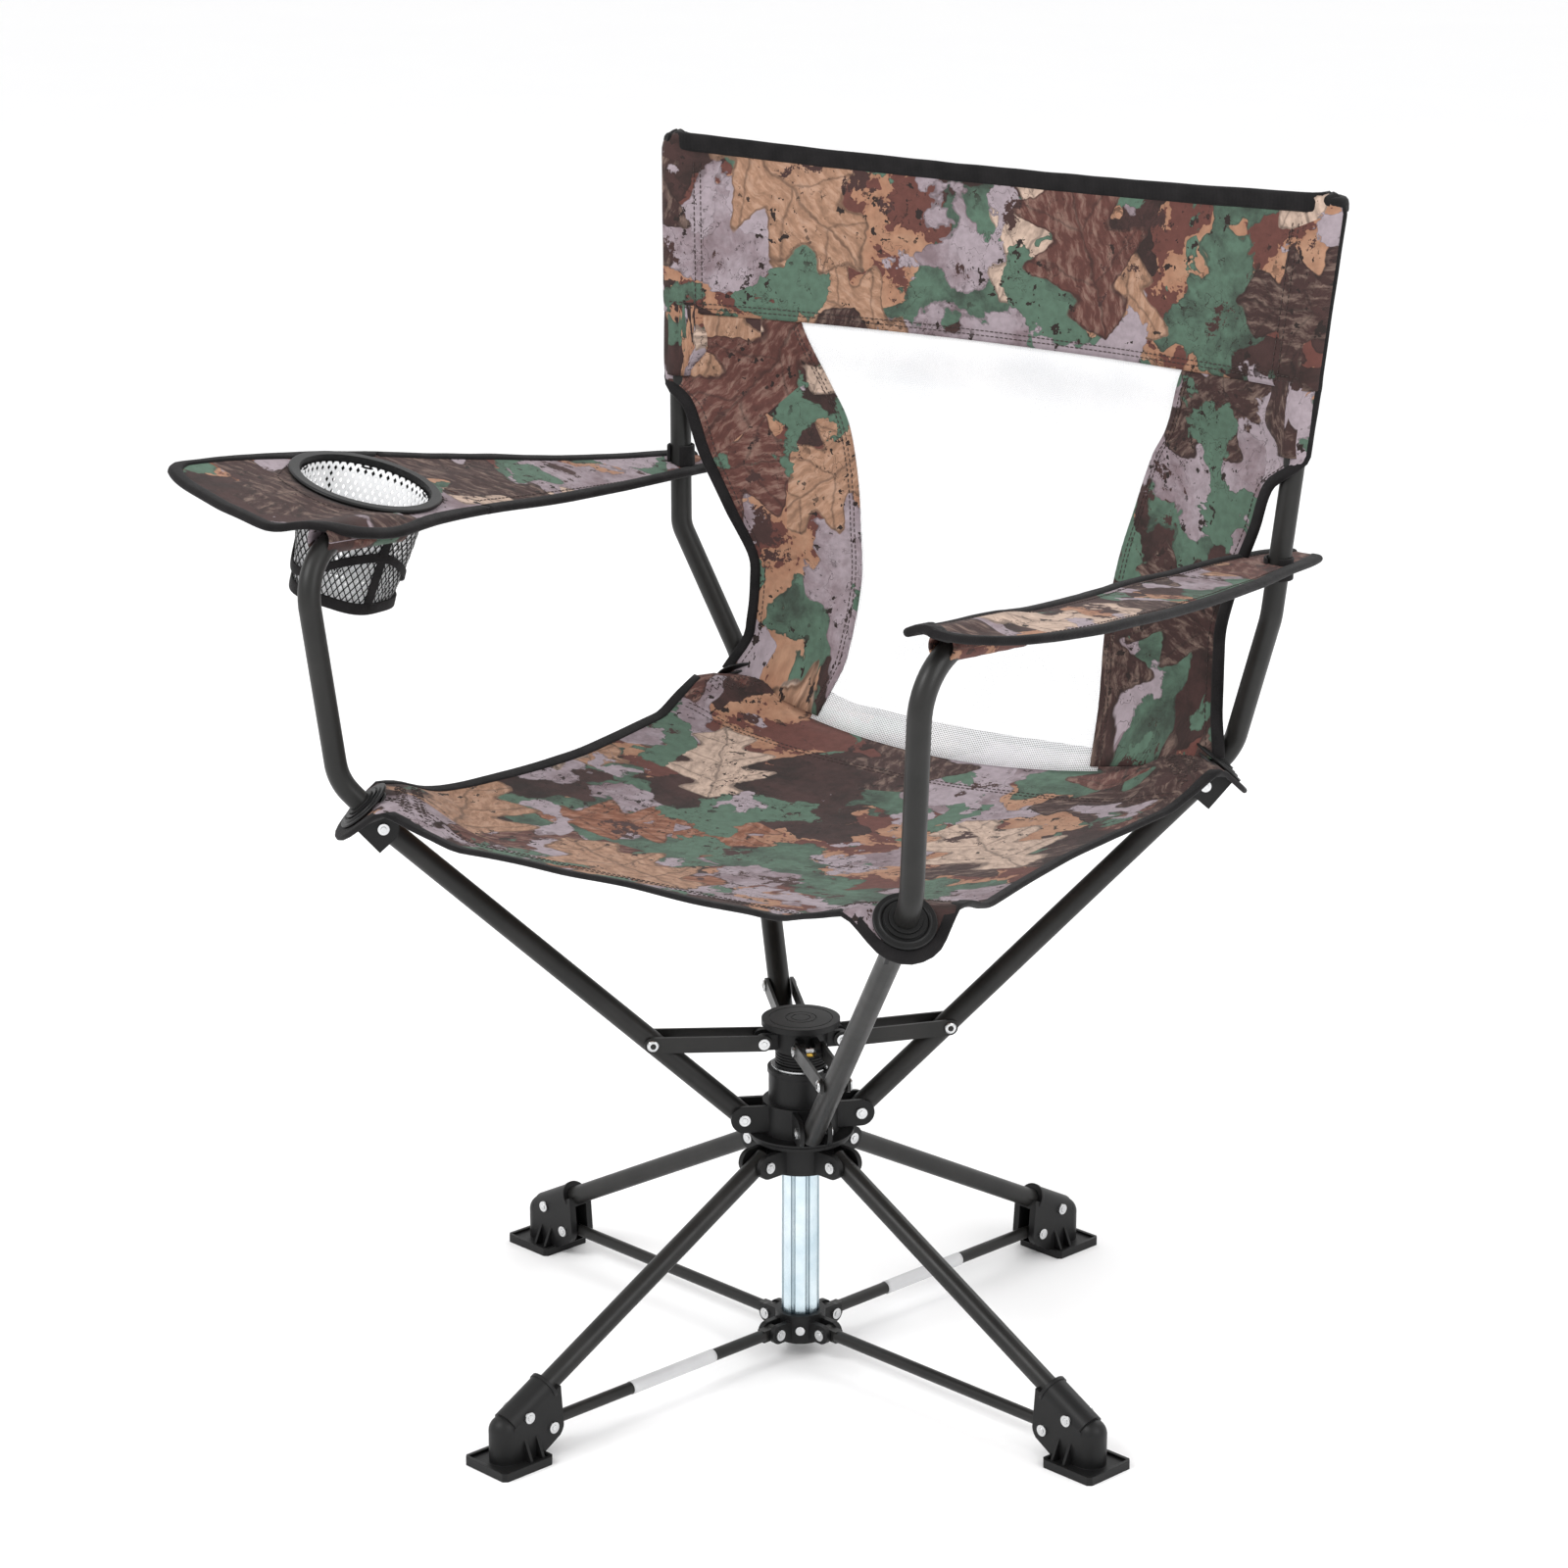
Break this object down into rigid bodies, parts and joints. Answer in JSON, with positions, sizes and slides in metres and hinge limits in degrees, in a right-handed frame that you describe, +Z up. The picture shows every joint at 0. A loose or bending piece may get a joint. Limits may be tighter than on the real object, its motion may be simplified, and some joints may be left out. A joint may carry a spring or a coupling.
{
  "type": "blind swivel chair",
  "caption": "Folding sling chair on a four-legged base with a full swivel; cloth seat and back with a mesh window, two cloth arms, a mesh drink pocket in one arm.",
  "frame": {"origin": "on the floor under the swivel axis", "axes": "+Z up along the swivel axis, -Y the way the seat faces, +X to the right of someone who looks at the chair's front"},
  "size_m": [0.7749, 0.6776, 0.9454],
  "materials": {
    "frame_black": "satin black powder coat",
    "hub_plastic": "fine-grained black moulding",
    "fluted_post": "pale blue-white, satin, with eight flutes",
    "rivet_steel": "bright plated steel",
    "nylon_washer": "natural nylon",
    "camo_cloth": "woven polyester with a printed leaf camouflage, black binding tape",
    "white_mesh": "open coated mesh"
  },
  "bodies": {
    "base": {"base_hub": "hub_plastic", "base_hub_rivets": "rivet_steel", "thrust_washer": "nylon_washer", "retaining_ring": "rivet_steel"},
    "post": {"centre_post": "fluted_post", "post_plug": "hub_plastic", "lower_hub": "hub_plastic", "lower_hub_fasteners": "rivet_steel"},
    "seat": {"seat_hub": "hub_plastic", "seat_hub_rivets": "rivet_steel", "seat_sling": "camo_cloth"},
    "collar": {"lift_collar": "hub_plastic", "collar_rivets": "rivet_steel", "lift_disc": "hub_plastic"},
    "leg_back_assembly": {"leg_back": "frame_black", "foot_back": "hub_plastic", "foot_rivets_back": "rivet_steel"},
    "strut_back_assembly": {"strut_back": "frame_black"},
    "leg_left_assembly": {"leg_left": "frame_black", "foot_left": "hub_plastic", "foot_rivets_left": "rivet_steel"},
    "strut_left_assembly": {"strut_left": "frame_black"},
    "leg_front_assembly": {"leg_front": "frame_black", "foot_front": "hub_plastic", "foot_rivets_front": "rivet_steel"},
    "strut_front_assembly": {"strut_front": "frame_black"},
    "leg_right_assembly": {"leg_right": "frame_black", "foot_right": "hub_plastic", "foot_rivets_right": "rivet_steel"},
    "strut_right_assembly": {"strut_right": "frame_black"},
    "tube_front_left": {"seat_tube_front_left": "frame_black"},
    "link_front_left": {"links_front_left": "frame_black"},
    "tube_front_right": {"seat_tube_front_right": "frame_black"},
    "link_front_right": {"links_front_right": "frame_black"},
    "tube_rear_right": {"seat_tube_rear_right": "frame_black"},
    "link_rear_right": {"links_rear_right": "frame_black"},
    "tube_rear_left": {"seat_tube_rear_left": "frame_black"},
    "link_rear_left": {"links_rear_left": "frame_black"},
    "corner_front_left": {"bracket_front_left": "hub_plastic", "corner_rivet_front_left": "rivet_steel", "grommet_front_left": "hub_plastic", "arm_post_left": "frame_black", "arm_cloth_left": "camo_cloth"},
    "corner_front_right": {"bracket_front_right": "hub_plastic", "corner_rivet_front_right": "rivet_steel", "grommet_front_right": "hub_plastic", "arm_post_right": "frame_black", "arm_cloth_right": "camo_cloth"},
    "corner_rear_right": {"bracket_rear_right": "hub_plastic", "corner_rivet_rear_right": "rivet_steel", "grommet_rear_right": "hub_plastic", "back_pole_right": "frame_black", "back_panel": "camo_cloth", "mesh_window": "white_mesh"},
    "corner_rear_left": {"bracket_rear_left": "hub_plastic", "corner_rivet_rear_left": "rivet_steel", "grommet_rear_left": "hub_plastic", "back_pole_left": "frame_black"},
    "cup": {"cup_ring": "hub_plastic", "cup_pocket": "white_mesh"}
  },
  "joints": [
    {"name": "fold_lift", "type": "slide", "parent": "base", "child": "post", "axis": [0, 0, 1], "range_m": [0, 0.12], "deforming": ["seat_sling", "back_panel", "mesh_window", "arm_cloth_left", "arm_cloth_right", "cup_pocket"]},
    {"name": "swivel", "type": "hinge", "parent": "base", "child": "seat", "pos_m": [0, 0, 0.2], "axis": [0, 0, 1], "continuous": true},
    {"name": "collar_lift", "type": "slide", "parent": "seat", "child": "collar", "axis": [0, 0, 1], "range_m": [0, 0.12]},
    {"name": "leg_back_fold", "type": "hinge", "parent": "base", "child": "leg_back_assembly", "pos_m": [0.00906, 0.04663, 0.175], "axis": [-0.9816, 0.1908, 0], "range_deg": [0, 52.15]},
    {"name": "strut_back_fold", "type": "hinge", "parent": "post", "child": "strut_back_assembly", "pos_m": [0.00611, 0.03141, 0.0235], "axis": [-0.9816, 0.1908, 0], "range_deg": [0, 81]},
    {"name": "leg_left_fold", "type": "hinge", "parent": "base", "child": "leg_left_assembly", "pos_m": [-0.04663, 0.00906, 0.175], "axis": [-0.1908, -0.9816, 0], "range_deg": [0, 52.15]},
    {"name": "strut_left_fold", "type": "hinge", "parent": "post", "child": "strut_left_assembly", "pos_m": [-0.03141, 0.00611, 0.0235], "axis": [-0.1908, -0.9816, 0], "range_deg": [0, 81]},
    {"name": "leg_front_fold", "type": "hinge", "parent": "base", "child": "leg_front_assembly", "pos_m": [-0.00906, -0.04663, 0.175], "axis": [0.9816, -0.1908, 0], "range_deg": [0, 52.15]},
    {"name": "strut_front_fold", "type": "hinge", "parent": "post", "child": "strut_front_assembly", "pos_m": [-0.00611, -0.03141, 0.0235], "axis": [0.9816, -0.1908, 0], "range_deg": [0, 81]},
    {"name": "leg_right_fold", "type": "hinge", "parent": "base", "child": "leg_right_assembly", "pos_m": [0.04663, -0.00906, 0.175], "axis": [0.1908, 0.9816, 0], "range_deg": [0, 52.15]},
    {"name": "strut_right_fold", "type": "hinge", "parent": "post", "child": "strut_right_assembly", "pos_m": [0.03141, -0.00611, 0.0235], "axis": [0.1908, 0.9816, 0], "range_deg": [0, 81]},
    {"name": "tube_front_left_rise", "type": "hinge", "parent": "seat", "child": "tube_front_left", "pos_m": [-0.03474, -0.0324, 0.207], "axis": [-0.682, 0.7314, 0], "range_deg": [0, 40.87]},
    {"name": "link_front_left_swing", "type": "hinge", "parent": "collar", "child": "link_front_left", "pos_m": [-0.02304, -0.02148, 0.271], "axis": [0.682, -0.7314, 0], "range_deg": [0, 73.81]},
    {"name": "corner_front_left_turn", "type": "hinge", "parent": "tube_front_left", "child": "corner_front_left", "pos_m": [-0.24192, -0.22559, 0.46476], "axis": [0.682, -0.7314, 0], "range_deg": [0, 40.87]},
    {"name": "tube_front_right_rise", "type": "hinge", "parent": "seat", "child": "tube_front_right", "pos_m": [0.03474, -0.0324, 0.207], "axis": [-0.682, -0.7314, 0], "range_deg": [0, 40.87]},
    {"name": "link_front_right_swing", "type": "hinge", "parent": "collar", "child": "link_front_right", "pos_m": [0.02304, -0.02148, 0.271], "axis": [0.682, 0.7314, 0], "range_deg": [0, 73.81]},
    {"name": "corner_front_right_turn", "type": "hinge", "parent": "tube_front_right", "child": "corner_front_right", "pos_m": [0.24192, -0.22559, 0.46476], "axis": [0.682, 0.7314, 0], "range_deg": [0, 40.87]},
    {"name": "tube_rear_right_rise", "type": "hinge", "parent": "seat", "child": "tube_rear_right", "pos_m": [0.0324, 0.03474, 0.207], "axis": [0.7314, -0.682, 0], "range_deg": [0, 40.87]},
    {"name": "link_rear_right_swing", "type": "hinge", "parent": "collar", "child": "link_rear_right", "pos_m": [0.02148, 0.02304, 0.271], "axis": [-0.7314, 0.682, 0], "range_deg": [0, 73.81]},
    {"name": "corner_rear_right_turn", "type": "hinge", "parent": "tube_rear_right", "child": "corner_rear_right", "pos_m": [0.22559, 0.24192, 0.46476], "axis": [-0.7314, 0.682, 0], "range_deg": [0, 40.87]},
    {"name": "tube_rear_left_rise", "type": "hinge", "parent": "seat", "child": "tube_rear_left", "pos_m": [-0.0324, 0.03474, 0.207], "axis": [0.7314, 0.682, 0], "range_deg": [0, 40.87]},
    {"name": "link_rear_left_swing", "type": "hinge", "parent": "collar", "child": "link_rear_left", "pos_m": [-0.02148, 0.02304, 0.271], "axis": [-0.7314, -0.682, 0], "range_deg": [0, 73.81]},
    {"name": "corner_rear_left_turn", "type": "hinge", "parent": "tube_rear_left", "child": "corner_rear_left", "pos_m": [-0.22559, 0.24192, 0.46476], "axis": [-0.7314, -0.682, 0], "range_deg": [0, 40.87]},
    {"name": "cup_ring_tilt", "type": "hinge", "parent": "corner_front_left", "child": "cup", "pos_m": [-0.34419, -0.1771, 0.70761], "axis": [0.9666, 0, -0.2561], "range_deg": [0, 80.01]}
  ],
  "couplings": [
    {"joint": "collar_lift", "follows": "fold_lift", "ratio": 1},
    {"joint": "leg_back_fold", "follows": "fold_lift", "rad_per_m": 7.583},
    {"joint": "strut_back_fold", "follows": "fold_lift", "rad_per_m": 11.78},
    {"joint": "leg_left_fold", "follows": "fold_lift", "rad_per_m": 7.583},
    {"joint": "strut_left_fold", "follows": "fold_lift", "rad_per_m": 11.78},
    {"joint": "leg_front_fold", "follows": "fold_lift", "rad_per_m": 7.583},
    {"joint": "strut_front_fold", "follows": "fold_lift", "rad_per_m": 11.78},
    {"joint": "leg_right_fold", "follows": "fold_lift", "rad_per_m": 7.583},
    {"joint": "strut_right_fold", "follows": "fold_lift", "rad_per_m": 11.78},
    {"joint": "tube_front_left_rise", "follows": "fold_lift", "rad_per_m": 5.9431},
    {"joint": "link_front_left_swing", "follows": "fold_lift", "rad_per_m": 10.733},
    {"joint": "corner_front_left_turn", "follows": "fold_lift", "rad_per_m": 5.9431},
    {"joint": "tube_front_right_rise", "follows": "fold_lift", "rad_per_m": 5.9431},
    {"joint": "link_front_right_swing", "follows": "fold_lift", "rad_per_m": 10.733},
    {"joint": "corner_front_right_turn", "follows": "fold_lift", "rad_per_m": 5.9431},
    {"joint": "tube_rear_right_rise", "follows": "fold_lift", "rad_per_m": 5.9431},
    {"joint": "link_rear_right_swing", "follows": "fold_lift", "rad_per_m": 10.733},
    {"joint": "corner_rear_right_turn", "follows": "fold_lift", "rad_per_m": 5.9431},
    {"joint": "tube_rear_left_rise", "follows": "fold_lift", "rad_per_m": 5.9431},
    {"joint": "link_rear_left_swing", "follows": "fold_lift", "rad_per_m": 10.733},
    {"joint": "corner_rear_left_turn", "follows": "fold_lift", "rad_per_m": 5.9431},
    {"joint": "cup_ring_tilt", "follows": "fold_lift", "rad_per_m": 11.636}
  ]
}
